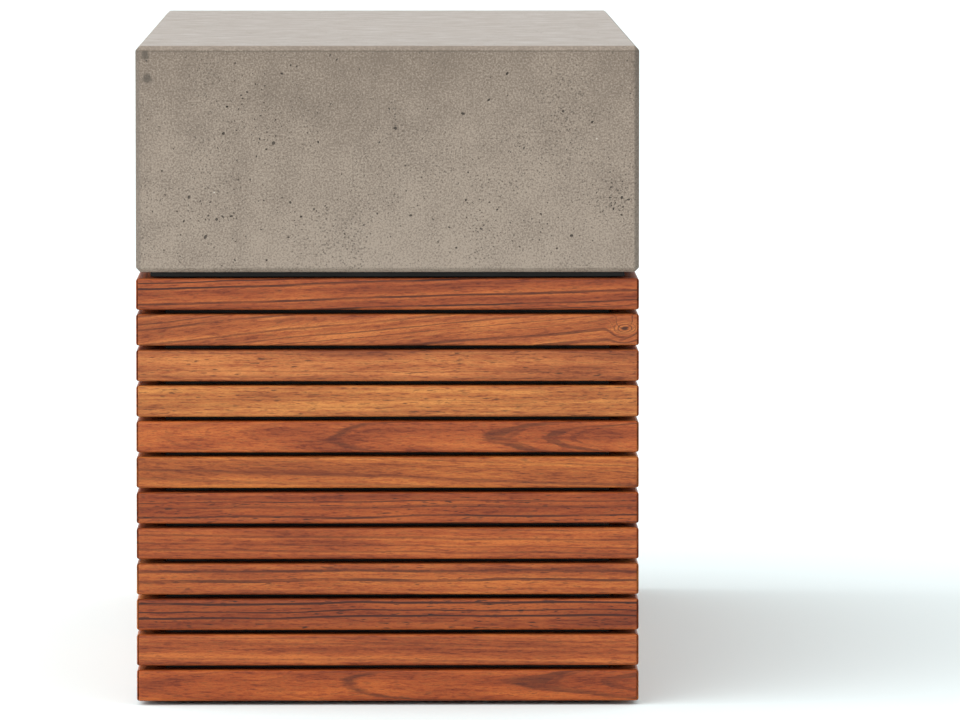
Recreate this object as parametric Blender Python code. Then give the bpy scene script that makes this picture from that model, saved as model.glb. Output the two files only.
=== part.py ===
"""Garden bench: a hollow concrete seat block on a steel frame clad with hardwood slats.

Metres, +Z up.  X runs across the bench and Y along it.  The origin is on the ground under
the middle of the bench.  Nothing on the bench moves: the slats are screwed to the frame
from inside, the block is bolted down and the feet are locked by nuts.

The base is clad on all four sides by twelve courses of slats, mitred at the corners.
Behind the slats stand a top ring, whose flat plate carries the block, a bottom ring of
steel angle, four corner posts of the same angle, and a flat-bar hoop half way along.
"""
import math

import bmesh
import bpy
from mathutils import Matrix, Vector

# ---------------------------------------------------------------- driving dimensions
BENCH_WIDTH = 0.350
BENCH_LENGTH = 0.850

# Cladding
COURSES = 12
SLAT_HEIGHT = 0.02175
SLAT_THICKNESS = 0.020
SLAT_GAP = 0.0031  # between one course and the next
SLAT_ROUND = 0.0020  # radius on the edges of the outer face
SLAT_BACK_EASE = 0.0008  # chamfer on the long edges of the inner face
GROUND_GAP = 0.0030  # ground to the lowest course
SHADOW_GAP = 0.0044  # highest course to the seat block

# Seat block
BLOCK_HEIGHT = 0.1575
BLOCK_WALL = 0.040
BLOCK_TOP = 0.035
BLOCK_ROUND = 0.0038

# Steel frame
ANGLE_LEG = 0.030
ANGLE_THICKNESS = 0.003
PLATE_SETBACK = 0.010  # the block's faces to the edge of the plate under it
HOOP_DEPTH = 0.040  # along the bench
HOOP_THICKNESS = 0.005

# Levelling feet, one near each corner of the bottom ring
FOOT_HEIGHT = 0.008
FOOT_RADIUS = 0.0115
FOOT_ROUND = 0.0015
STEM_RADIUS = 0.004
STEM_LENGTH = 0.016  # above the foot's pad
FOOT_INSET = 0.040  # from the frame's end to a foot's centre, along the bench

# Bolts that hold the block down pass through these holes in the top ring
BOLT_HOLE_RADIUS = 0.0045
BOLTS_PER_SIDE = 3
BOLT_INSET = 0.060  # from the frame's end to the first bolt, along the bench

# Clearances
TOUCH = 0.0003  # between pieces that touch
STEM_CLEARANCE = 0.0005  # around a foot's stem in its hole

# Facets
ROUND_SEGMENTS = 2
BLOCK_ROUND_SEGMENTS = 3
CIRCLE_SIDES = 20

# ---------------------------------------------------------------- derived places
SLAT_PITCH = SLAT_HEIGHT + SLAT_GAP
CLADDING_TOP = GROUND_GAP + COURSES * SLAT_PITCH - SLAT_GAP
BLOCK_BOTTOM = CLADDING_TOP + SHADOW_GAP
FRAME_WIDTH = BENCH_WIDTH - 2 * (SLAT_THICKNESS + TOUCH)
FRAME_LENGTH = BENCH_LENGTH - 2 * (SLAT_THICKNESS + TOUCH)
FRAME_TOP = BLOCK_BOTTOM - TOUCH
FRAME_BOTTOM = FOOT_HEIGHT + TOUCH
POST_BOTTOM = FRAME_BOTTOM + ANGLE_LEG + TOUCH
POST_TOP = FRAME_TOP - ANGLE_LEG - TOUCH
STEM_HOLE_RADIUS = STEM_RADIUS + STEM_CLEARANCE
# The feet stand under the middle of the angle's flat leg, clear of its upright leg
FOOT_X = FRAME_WIDTH / 2 - (ANGLE_LEG + ANGLE_THICKNESS) / 2
FOOT_Y = FRAME_LENGTH / 2 - FOOT_INSET
# The bolts rise through the flat leg where the block's wall stands over it
BLOCK_CAVITY_WIDTH = BENCH_WIDTH - 2 * BLOCK_WALL
BOLT_X = (FRAME_WIDTH / 2 - ANGLE_THICKNESS + BLOCK_CAVITY_WIDTH / 2) / 2
BOLT_Y = FRAME_LENGTH / 2 - BOLT_INSET

# name: (linear colour, roughness, metallic)
FINISHES = {
    "cast_concrete": ((0.34, 0.29, 0.24, 1.0), 0.75, 0.0),
    "oiled_hardwood": ((0.39, 0.11, 0.045, 1.0), 0.5, 0.0),
    "black_painted_steel": ((0.012, 0.010, 0.009, 1.0), 0.5, 0.3),
    "black_rubber": ((0.015, 0.015, 0.015, 1.0), 0.8, 0.0),
}


# ---------------------------------------------------------------- helpers
def clear_scene():
    for old in list(bpy.data.objects):
        bpy.data.objects.remove(old, do_unlink=True)


def make_finishes():
    made = {}
    for name, (colour, roughness, metallic) in FINISHES.items():
        finish = bpy.data.materials.new(name)
        finish.use_nodes = True
        shader = finish.node_tree.nodes["Principled BSDF"]
        shader.inputs["Base Color"].default_value = colour
        shader.inputs["Roughness"].default_value = roughness
        shader.inputs["Metallic"].default_value = metallic
        made[name] = finish
    return made


def add_object(name, bm, finish=None, location=(0.0, 0.0, 0.0), turn=0.0):
    """Turn a bmesh into a named object, placed by its location and a turn about Z."""
    bmesh.ops.recalc_face_normals(bm, faces=bm.faces)
    mesh = bpy.data.meshes.new(name)
    bm.to_mesh(mesh)
    bm.free()
    return add_copy(name, mesh, finish, location, turn)


def add_copy(name, mesh, finish=None, location=(0.0, 0.0, 0.0), turn=0.0):
    """Another object on the same mesh."""
    piece = bpy.data.objects.new(name, mesh)
    if finish is not None and not mesh.materials:
        mesh.materials.append(finish)
    piece.location = location
    piece.rotation_euler = (0.0, 0.0, turn)
    bpy.context.scene.collection.objects.link(piece)
    return piece


def box(width, length, height):
    """A bmesh box, centred on the Z axis, standing on z = 0."""
    bm = bmesh.new()
    size = Matrix.Diagonal((width, length, height, 1.0))
    lift = Matrix.Translation((0.0, 0.0, height / 2))
    bmesh.ops.create_cube(bm, size=1.0, matrix=lift @ size)
    return bm


def face_towards(bm, direction):
    """The face that lies furthest along a direction and points that way."""
    direction = Vector(direction)
    bm.normal_update()
    facing = [face for face in bm.faces if face.normal.dot(direction) > 0.99]
    return max(facing, key=lambda face: face.calc_center_median().dot(direction))


def inset_face(bm, face, distance):
    """Inset one face; the face itself stays as the smaller one in the middle."""
    bmesh.ops.inset_region(bm, faces=[face], thickness=distance, use_even_offset=True)


def push_face(bm, face, offset):
    """Extrude one face by an offset and return the face at its far end."""
    pushed = bmesh.ops.extrude_discrete_faces(bm, faces=[face])["faces"][0]
    bmesh.ops.translate(bm, verts=pushed.verts, vec=offset)
    return pushed


def open_between(bm, first, second):
    """Remove two faces with outlines alike and join their outlines by walls."""
    edges = list(first.edges) + list(second.edges)
    bmesh.ops.delete(bm, geom=[first, second], context="FACES_ONLY")
    bmesh.ops.bridge_loops(bm, edges=edges)


def round_edges(bm, edges, radius, segments):
    bmesh.ops.bevel(
        bm, geom=edges, offset=radius, segments=segments, profile=0.5, affect="EDGES", material=-1
    )


def cut_round_holes(target, places, radius, depth):
    """Cut upright round holes through an object, with one hidden cutter for each."""
    for number, place in enumerate(places, start=1):
        bm = bmesh.new()
        bmesh.ops.create_cone(
            bm, cap_ends=True, segments=CIRCLE_SIDES, radius1=radius, radius2=radius, depth=depth
        )
        cutter = add_object(f"{target.name}_cutter_{number}", bm, location=place)
        cutter.hide_render = True
        cutter.display_type = "WIRE"
        cut = target.modifiers.new(f"hole_{number}", "BOOLEAN")
        cut.operation = "DIFFERENCE"
        cut.solver = "EXACT"
        cut.object = cutter


# ---------------------------------------------------------------- cladding
def slat_mesh(length, finish):
    """One slat, its outer face towards -Y on y = 0, cut back at 45 degrees at both ends.

    Its outer face is as long as the side it covers, so the rounded corner is shared with
    the slat that it meets.
    """
    bm = box(length, SLAT_THICKNESS, SLAT_HEIGHT)
    bmesh.ops.translate(bm, verts=bm.verts, vec=(0.0, SLAT_THICKNESS / 2, 0.0))
    outer = list(face_towards(bm, (0.0, -1.0, 0.0)).edges)
    round_edges(bm, outer, SLAT_ROUND, ROUND_SEGMENTS)
    back = face_towards(bm, (0.0, 1.0, 0.0))
    long_edges = [edge for edge in back.edges if edge.calc_length() > length / 2]
    round_edges(bm, long_edges, SLAT_BACK_EASE, 1)
    half = length / 2 - TOUCH * math.sqrt(0.5)
    for end in (-1.0, 1.0):
        cut = bmesh.ops.bisect_plane(
            bm,
            geom=list(bm.verts) + list(bm.edges) + list(bm.faces),
            plane_co=(end * half, 0.0, 0.0),
            plane_no=(end, 1.0, 0.0),
            clear_outer=True,
        )["geom_cut"]
        rim = [item for item in cut if isinstance(item, bmesh.types.BMEdge)]
        bmesh.ops.contextual_create(bm, geom=rim)
    bmesh.ops.recalc_face_normals(bm, faces=bm.faces)
    mesh = bpy.data.meshes.new("slat")
    bm.to_mesh(mesh)
    bm.free()
    mesh.materials.append(finish)
    return mesh


def add_cladding(finish):
    short_slat = slat_mesh(BENCH_WIDTH, finish)
    long_slat = slat_mesh(BENCH_LENGTH, finish)
    half_width = BENCH_WIDTH / 2
    half_length = BENCH_LENGTH / 2
    sides = (
        ("front", short_slat, (0.0, -half_length), 0.0),
        ("right", long_slat, (half_width, 0.0), math.radians(90)),
        ("rear", short_slat, (0.0, half_length), math.radians(180)),
        ("left", long_slat, (-half_width, 0.0), math.radians(270)),
    )
    for course in range(COURSES):
        bottom = CLADDING_TOP - SLAT_HEIGHT - course * SLAT_PITCH
        for side, mesh, place, turn in sides:
            add_copy(f"{side}_slat_{course + 1:02d}", mesh, location=(*place, bottom), turn=turn)


# ---------------------------------------------------------------- seat block
def add_seat_block(finish):
    """A cast shell: rounded outside on every edge, open underneath."""
    bm = box(BENCH_WIDTH, BENCH_LENGTH, BLOCK_HEIGHT)
    round_edges(bm, list(bm.edges), BLOCK_ROUND, BLOCK_ROUND_SEGMENTS)
    under = face_towards(bm, (0.0, 0.0, -1.0))
    inset_face(bm, under, BLOCK_WALL - BLOCK_ROUND)
    push_face(bm, under, (0.0, 0.0, BLOCK_HEIGHT - BLOCK_TOP))
    add_object("seat_block", bm, finish, location=(0.0, 0.0, BLOCK_BOTTOM))


# ---------------------------------------------------------------- steel frame
def ring(outer_overhang):
    """A ring with its flat plate at the bottom and an upright leg standing on the plate.

    The plate reaches past the upright leg by the overhang outside, and to the full width
    of the angle inside.
    """
    plate_width = FRAME_WIDTH + 2 * outer_overhang
    plate_length = FRAME_LENGTH + 2 * outer_overhang
    bm = box(plate_width, plate_length, ANGLE_THICKNESS)
    upright_height = ANGLE_LEG - ANGLE_THICKNESS
    upper = face_towards(bm, (0.0, 0.0, 1.0))
    if outer_overhang > 0:
        inset_face(bm, upper, outer_overhang)
    upper = push_face(bm, upper, (0.0, 0.0, upright_height))
    inset_face(bm, upper, ANGLE_THICKNESS)
    upper = push_face(bm, upper, (0.0, 0.0, -upright_height))
    inset_face(bm, upper, ANGLE_LEG - ANGLE_THICKNESS)
    lower = face_towards(bm, (0.0, 0.0, -1.0))
    inset_face(bm, lower, ANGLE_LEG + outer_overhang)
    open_between(bm, upper, lower)
    return bm


def add_rings(finish):
    leg_middle = ANGLE_THICKNESS / 2
    hole_depth = 4 * ANGLE_THICKNESS

    overhang = (BENCH_WIDTH - FRAME_WIDTH) / 2 - PLATE_SETBACK
    upside_down = ring(overhang)
    bmesh.ops.rotate(upside_down, verts=upside_down.verts, matrix=Matrix.Rotation(math.pi, 3, "X"))
    top = add_object("top_ring", upside_down, finish, location=(0.0, 0.0, FRAME_TOP))
    bolt_step = 2 * BOLT_Y / (BOLTS_PER_SIDE - 1)
    bolt_places = [
        (side * BOLT_X, -BOLT_Y + number * bolt_step, FRAME_TOP - leg_middle)
        for side in (-1, 1)
        for number in range(BOLTS_PER_SIDE)
    ]
    cut_round_holes(top, bolt_places, BOLT_HOLE_RADIUS, hole_depth)

    bottom = add_object("bottom_ring", ring(0.0), finish, location=(0.0, 0.0, FRAME_BOTTOM))
    stem_places = [
        (side * FOOT_X, end * FOOT_Y, FRAME_BOTTOM + leg_middle)
        for side in (-1, 1)
        for end in (-1, 1)
    ]
    cut_round_holes(bottom, stem_places, STEM_HOLE_RADIUS, hole_depth)


def add_corner_posts(finish):
    """Four lengths of angle between the rings, their legs flush with the rings outside."""
    leg = ANGLE_LEG
    wall = ANGLE_THICKNESS
    outline = ((0, 0), (leg, 0), (leg, wall), (wall, wall), (wall, leg), (0, leg))
    bm = bmesh.new()
    section = bm.faces.new([bm.verts.new((x, y, 0.0)) for x, y in outline])
    push_face(bm, section, (0.0, 0.0, POST_TOP - POST_BOTTOM))
    bmesh.ops.holes_fill(bm, edges=bm.edges)
    x = FRAME_WIDTH / 2
    y = FRAME_LENGTH / 2
    corners = (
        ("front_left_post", -x, -y),
        ("front_right_post", x, -y),
        ("rear_right_post", x, y),
        ("rear_left_post", -x, y),
    )
    first_name, first_x, first_y = corners[0]
    first = add_object(first_name, bm, finish, location=(first_x, first_y, POST_BOTTOM))
    for quarter, (name, place_x, place_y) in enumerate(corners[1:], start=1):
        place = (place_x, place_y, POST_BOTTOM)
        add_copy(name, first.data, location=place, turn=math.radians(90 * quarter))


def add_hoop(finish):
    """A flat-bar hoop half way along, which backs the long slats and ties the sides."""
    bm = box(FRAME_WIDTH, HOOP_DEPTH, POST_TOP - POST_BOTTOM)
    front = face_towards(bm, (0.0, -1.0, 0.0))
    rear = face_towards(bm, (0.0, 1.0, 0.0))
    inset_face(bm, front, HOOP_THICKNESS)
    inset_face(bm, rear, HOOP_THICKNESS)
    open_between(bm, front, rear)
    add_object("middle_hoop", bm, finish, location=(0.0, 0.0, POST_BOTTOM))


# ---------------------------------------------------------------- feet
def add_feet(finish):
    """Turned rubber pads on upright stems that pass through the bottom ring."""
    pad = FOOT_RADIUS
    ease = FOOT_ROUND
    profile = (
        (0.0, 0.0),
        (pad - ease, 0.0),
        (pad, ease),
        (pad, FOOT_HEIGHT - ease),
        (pad - ease, FOOT_HEIGHT),
        (STEM_RADIUS, FOOT_HEIGHT),
        (STEM_RADIUS, FOOT_HEIGHT + STEM_LENGTH),
        (0.0, FOOT_HEIGHT + STEM_LENGTH),
    )
    bm = bmesh.new()
    points = [bm.verts.new((radius, 0.0, z)) for radius, z in profile]
    line = [bm.edges.new(pair) for pair in zip(points, points[1:])]
    bmesh.ops.spin(
        bm,
        geom=points + line,
        cent=(0.0, 0.0, 0.0),
        axis=(0.0, 0.0, 1.0),
        angle=math.radians(360),
        steps=CIRCLE_SIDES,
        use_merge=True,
    )
    bmesh.ops.remove_doubles(bm, verts=bm.verts, dist=0.00001)
    places = (
        ("front_left_foot", -FOOT_X, -FOOT_Y),
        ("front_right_foot", FOOT_X, -FOOT_Y),
        ("rear_right_foot", FOOT_X, FOOT_Y),
        ("rear_left_foot", -FOOT_X, FOOT_Y),
    )
    first_name, first_x, first_y = places[0]
    first = add_object(first_name, bm, finish, location=(first_x, first_y, 0.0))
    for name, x, y in places[1:]:
        add_copy(name, first.data, location=(x, y, 0.0))


def main():
    clear_scene()
    finishes = make_finishes()
    add_seat_block(finishes["cast_concrete"])
    add_cladding(finishes["oiled_hardwood"])
    add_rings(finishes["black_painted_steel"])
    add_corner_posts(finishes["black_painted_steel"])
    add_hoop(finishes["black_painted_steel"])
    add_feet(finishes["black_rubber"])


main()
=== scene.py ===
"""Looks for a garden bench: a cast concrete seat block on a steel base clad with oiled slats.

Metres, +Z up, X across the bench and Y along it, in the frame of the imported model.
"""
import math
import random

import bmesh
import bpy
from bpy.props import FloatProperty, FloatVectorProperty, IntProperty, PointerProperty
from mathutils import Euler, Matrix, Vector


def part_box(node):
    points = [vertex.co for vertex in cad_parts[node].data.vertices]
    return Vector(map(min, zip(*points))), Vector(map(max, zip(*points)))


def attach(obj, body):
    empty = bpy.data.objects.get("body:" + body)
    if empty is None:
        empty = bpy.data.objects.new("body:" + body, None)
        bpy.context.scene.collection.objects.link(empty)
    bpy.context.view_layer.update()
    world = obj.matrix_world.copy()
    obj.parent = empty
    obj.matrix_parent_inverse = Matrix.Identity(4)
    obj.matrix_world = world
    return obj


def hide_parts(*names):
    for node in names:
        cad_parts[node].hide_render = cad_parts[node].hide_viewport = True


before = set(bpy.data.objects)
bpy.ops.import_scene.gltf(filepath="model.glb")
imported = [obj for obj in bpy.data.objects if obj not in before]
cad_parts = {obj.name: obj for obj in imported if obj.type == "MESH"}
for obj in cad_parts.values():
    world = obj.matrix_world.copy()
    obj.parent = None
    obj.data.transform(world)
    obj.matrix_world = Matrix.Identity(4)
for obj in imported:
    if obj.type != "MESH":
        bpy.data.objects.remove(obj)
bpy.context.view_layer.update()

bl_info = {
    "name": "Garden bench",
    "version": (1, 0, 0),
    "blender": (4, 5, 0),
    "location": "3D View > Sidebar > Bench",
    "description": "Builds the looks of a concrete and hardwood garden bench",
    "category": "Add Mesh",
}

BODY = "root"
COURSES = 12
SIDES = ("front", "right", "rear", "left")
FEET = ("front_left_foot", "front_right_foot", "rear_right_foot", "rear_left_foot")
POSTS = ("front_left_post", "front_right_post", "rear_right_post", "rear_left_post")
STEEL_NODES = ("top_ring", "bottom_ring", "middle_hoop", *POSTS)
MM = 0.001
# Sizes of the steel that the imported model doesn't name
STEEL_WALL = 3 * MM
HOOP_WALL = 5 * MM
# The black sheet behind the slats is painted shade, standing for the dark inside of the base
SHADE_SHEET_THICKNESS = 1.5 * MM
CLEARANCE = 0.3 * MM
# Left free above and below the black sheet for the welds of the posts
WELD_ROOM = 3 * MM
# The holes for the block's bolts, from the middle of the bench
BOLT_X = 143.35 * MM
BOLT_Y = 344.7 * MM


# -------------------- colours and nodes
def linear(code):
    """A colour written as sRGB hex, as the linear numbers that Blender works with."""
    shares = [int(code[place:place + 2], 16) / 255 for place in (1, 3, 5)]
    return tuple(
        share / 12.92 if share <= 0.04045 else ((share + 0.055) / 1.055) ** 2.4 for share in shares
    )


def add_node(tree, kind, inputs=(), give=0, stops=(), **settings):
    """Add a shader node with its settings and colour stops, and return one of its outputs.

    Inputs are a sequence, for the first sockets in order, or a dictionary by name or number.
    Each is a value or another node's output.
    """
    made = tree.nodes.new("ShaderNode" + kind)
    for setting, value in settings.items():
        setattr(made, setting, value)
    for number, (position, colour) in enumerate(stops):
        if number >= len(made.color_ramp.elements):
            made.color_ramp.elements.new(position)
        made.color_ramp.elements[number].position = position
        made.color_ramp.elements[number].color = (*colour, 1.0)
    given = inputs if isinstance(inputs, dict) else dict(enumerate(inputs))
    for socket, value in given.items():
        if isinstance(value, bpy.types.NodeSocket):
            tree.links.new(value, made.inputs[socket])
        else:
            made.inputs[socket].default_value = value
    return made.outputs[give] if made.outputs else None


def new_material(name):
    """An empty material and its node tree."""
    material = bpy.data.materials.new(name)
    material.use_nodes = True
    material.node_tree.nodes.clear()
    return material, material.node_tree


def finish_material(material, colour, relief, looks):
    """Give a material its surface: a colour, a relief and its other looks.

    The relief is its strength, its height and the field that it follows.
    """
    tree = material.node_tree
    strength, height, field = relief
    bump = add_node(tree, "Bump", {"Strength": strength, "Distance": height, "Height": field})
    looks = {"Base Color": colour, "Normal": bump, **looks}
    surface = add_node(tree, "BsdfPrincipled", looks)
    add_node(tree, "OutputMaterial", {"Surface": surface})
    return material


# -------------------- mesh helpers
def box(low, high):
    """A bmesh box between two corners."""
    low, high = Vector(low), Vector(high)
    size = Matrix.Diagonal((*(high - low), 1.0))
    bm = bmesh.new()
    bmesh.ops.create_cube(bm, size=1.0, matrix=Matrix.Translation((low + high) / 2) @ size)
    return bm


def face_towards(bm, direction):
    """The face that lies furthest along a direction and points that way."""
    direction = Vector(direction)
    bm.normal_update()
    facing = [face for face in bm.faces if face.normal.dot(direction) > 0.99]
    return max(facing, key=lambda face: face.calc_center_median().dot(direction))


def inset_face(bm, face, distance):
    """Inset one face; the face itself stays as the smaller one in the middle."""
    bmesh.ops.inset_region(bm, faces=[face], thickness=distance, use_even_offset=True)


def push_face(bm, face, offset):
    """Extrude one face by an offset and return the face at its far end."""
    pushed = bmesh.ops.extrude_discrete_faces(bm, faces=[face])["faces"][0]
    bmesh.ops.translate(bm, verts=pushed.verts, vec=offset)
    return pushed


def round_edges(bm, edges, radius, segments):
    """Bevel some edges; one segment makes a chamfer."""
    bmesh.ops.bevel(
        bm, geom=edges, offset=radius, segments=segments, profile=0.5, affect="EDGES", material=-1
    )


def turned(profile, sides, centre=(0.0, 0.0, 0.0)):
    """Spin an outline of (radius, height) points about an upright axis into a closed piece."""
    bm = bmesh.new()
    points = [bm.verts.new((radius, 0.0, height)) for radius, height in profile]
    line = [bm.edges.new(pair) for pair in zip(points, points[1:])]
    bmesh.ops.spin(
        bm,
        geom=points + line,
        cent=(0.0, 0.0, 0.0),
        axis=(0.0, 0.0, 1.0),
        angle=math.radians(360),
        steps=sides,
        use_merge=True,
    )
    bmesh.ops.remove_doubles(bm, verts=bm.verts, dist=0.01 * MM)
    bmesh.ops.recalc_face_normals(bm, faces=bm.faces)
    bmesh.ops.translate(bm, verts=bm.verts, vec=centre)
    return bm


def to_mesh(name, bm):
    mesh = bpy.data.meshes.new(name)
    bm.to_mesh(mesh)
    bm.free()
    return mesh


def join_copies(name, shape, places):
    """One mesh made of a small shape's copies, each moved by a matrix."""
    bm = bmesh.new()
    for place in places:
        copy = shape.copy()
        copy.transform(place)
        bm.from_mesh(copy)
        bpy.data.meshes.remove(copy)
    return to_mesh(name, bm)


# Faces that meet at less than this angle, in degrees, are smoothed into one
CREASE = 35.0


def add_piece(name, mesh, material, stands_for=(), crease=CREASE):
    """Add a piece that rides with the bench."""
    mesh.shade_smooth()
    mesh.set_sharp_from_angle(angle=math.radians(crease))
    if not mesh.materials:
        mesh.materials.append(material)
    piece = bpy.data.objects.new(name, mesh)
    bpy.context.scene.collection.objects.link(piece)
    flat_faces = piece.modifiers.new("flat_faces_stay_flat", "WEIGHTED_NORMAL")
    flat_faces.keep_sharp = True
    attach(piece, BODY)
    if stands_for:
        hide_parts(*stands_for)


# -------------------- settings
def number_setting(name, description, default, **more):
    return FloatProperty(name=name, description=description, default=default, **more)


def length_setting(name, description, default):
    return number_setting(name, description, default, unit="LENGTH")


def colour_setting(name, description, code):
    return FloatVectorProperty(
        name=name, description=description, default=linear(code), size=3, subtype="COLOR"
    )


def seed_setting(description, default):
    return IntProperty(name="Seed", description=description, default=default)


class BenchBlockSettings(bpy.types.PropertyGroup):
    chamfer: length_setting(
        "Chamfer", "Width and height of the flat taken off each outer edge", 3.1 * MM
    )
    arris: length_setting("Arris", "Rounding where the chamfer meets a face", 0.7 * MM)
    pits_per_area: number_setting("Pits per square metre", "Air pits on a moulded side", 6000.0)
    largest_pit: length_setting("Largest pit", "Radius of the largest air pit", 1.35 * MM)
    pit_seed: seed_setting("Another number gives the pits other places", 11)
    paste: colour_setting("Cement paste", "Mean colour of the concrete", "#7F7164")
    shade: colour_setting("Shade", "Colour of the darker clouds", "#6B5D50")
    bloom: colour_setting(
        "Bloom", "Colour of the paler clouds, where lime has come to the surface", "#938577"
    )


class BenchSlatSettings(bpy.types.PropertyGroup):
    edge: length_setting("Edge radius", "Rounding round the outer face of a slat", 1.9 * MM)
    joint: length_setting("Mitre joint", "Gap between two slats at a corner", 0.3 * MM)
    grain_seed: seed_setting("Another number cuts the other sides' slats from other boards", 5)
    roughness: number_setting(
        "Roughness", "Roughness of the oiled face", 0.5, min=0.0, max=1.0, subtype="FACTOR"
    )


class BenchFrameSettings(bpy.types.PropertyGroup):
    powder: colour_setting("Powder coat", "Colour of the powder coat on the steel", "#0E0C0B")


class BenchShadeSheetsSettings(bpy.types.PropertyGroup):
    thickness: length_setting("Thickness", "Thickness of the sheet behind the slats", SHADE_SHEET_THICKNESS)


class BenchStageSettings(bpy.types.PropertyGroup):
    surroundings: number_setting("Surroundings", "Strength of the white surroundings", 1.0)
    key_strength: number_setting(
        "Key light", "Strength of the wide soft light in front and to the left", 1.25
    )
    side_strength: number_setting("Side light", "Strength of the soft light on the left", 0.72)
    floor_power: number_setting(
        "Floor light", "Power of the lamp over the floor on the left", 12.0, unit="POWER"
    )
    floor_size: length_setting("Floor", "Width of the floor", 80.0)


# -------------------- stage
# The camera stands here and looks down and to the right by so many degrees
CAMERA_PLACE = (-0.0004, -6.399, 0.6578)
CAMERA_PITCH = 3.987
CAMERA_YAW = 0.6204
# The lens and the sensor's width, in millimetres
LENS = 322.77
SENSOR = 36.0


def aim(item, place, target):
    item.location = place
    item.rotation_euler = (Vector(target) - Vector(place)).to_track_quat("-Z", "Y").to_euler()


def add_wide_light(name, place, strength, spread):
    """A light so large and far away that it reaches the bench and the floor behind alike."""
    lamp = bpy.data.lights.new(name, "SUN")
    lamp.energy = strength
    lamp.angle = math.radians(spread)
    item = bpy.data.objects.new(name, lamp)
    bpy.context.scene.collection.objects.link(item)
    aim(item, place, (0.0, 0.0, 0.25))


class BENCH_OT_stage(bpy.types.Operator):
    """Add the pale floor, the white surroundings, the soft lights and the camera"""

    bl_idname = "bench.stage"
    bl_label = "Stage"

    def execute(self, context):
        settings = context.scene.bench_stage
        scene = context.scene
        scene.view_settings.view_transform = "Standard"

        world = bpy.data.worlds.new("white_surroundings")
        world.use_nodes = True
        scene.world = world
        world.node_tree.nodes.clear()
        light = add_node(
            world.node_tree,
            "Background",
            {"Color": (1.0, 1.0, 1.0, 1.0), "Strength": settings.surroundings},
        )
        add_node(world.node_tree, "OutputWorld", {"Surface": light})

        paper, tree = new_material("matt_white_paper")
        white = (*linear("#EFFAFB"), 1.0)
        surface = add_node(
            tree, "BsdfPrincipled", {"Base Color": white, "Roughness": 1.0, "Specular IOR Level": 0.0}
        )
        add_node(tree, "OutputMaterial", {"Surface": surface})
        bm = bmesh.new()
        bmesh.ops.create_grid(bm, x_segments=1, y_segments=1, size=settings.floor_size / 2)
        floor = bpy.data.objects.new("floor", to_mesh("floor", bm))
        floor.data.materials.append(paper)
        scene.collection.objects.link(floor)

        add_wide_light("key_light", (-2.4, -4.6, 2.7), settings.key_strength, 55)
        add_wide_light("side_light", (-5.2, -1.0, 3.2), settings.side_strength, 50)

        # A lamp low on the left keeps the floor there white, where the bench hides the right
        lamp = bpy.data.lights.new("floor_light", "AREA")
        lamp.size = 2.0
        lamp.energy = settings.floor_power
        item = bpy.data.objects.new("floor_light", lamp)
        scene.collection.objects.link(item)
        aim(item, (-2.1, 0.2, 1.3), (-1.0, 0.2, 0.0))

        lens = bpy.data.cameras.new("camera")
        lens.lens = LENS
        lens.sensor_width = SENSOR
        lens.clip_end = 200.0
        camera = bpy.data.objects.new("camera", lens)
        camera.location = CAMERA_PLACE
        pitch, yaw = math.radians(90 - CAMERA_PITCH), math.radians(-CAMERA_YAW)
        camera.rotation_euler = (pitch, 0.0, yaw)
        scene.collection.objects.link(camera)
        scene.camera = camera
        return {"FINISHED"}


# -------------------- seat block
# Oil spots on the front: how far in from the left and down from the top, and how wide
OIL_SPOTS = (((0.007, 0.006), 0.0032), ((0.008, 0.022), 0.0036))
# An oil spot's ragged edge: the cells of its noise and how far they push the edge
OIL_SPREAD = 6 * MM
# Painted light: how much paler than its middle the block is drawn at the bottom, lit by the floor,
# as a share of the tone
PAINTED_LIGHT_BELOW = 0.13
# How much of the tone each noise makes; each lies about a half
CLOUDS = 0.4
MOTTLE = 0.5
SAND = 1.7
NOISE_SHARES = (CLOUDS + MOTTLE + SAND) / 2 - 0.5


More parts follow.
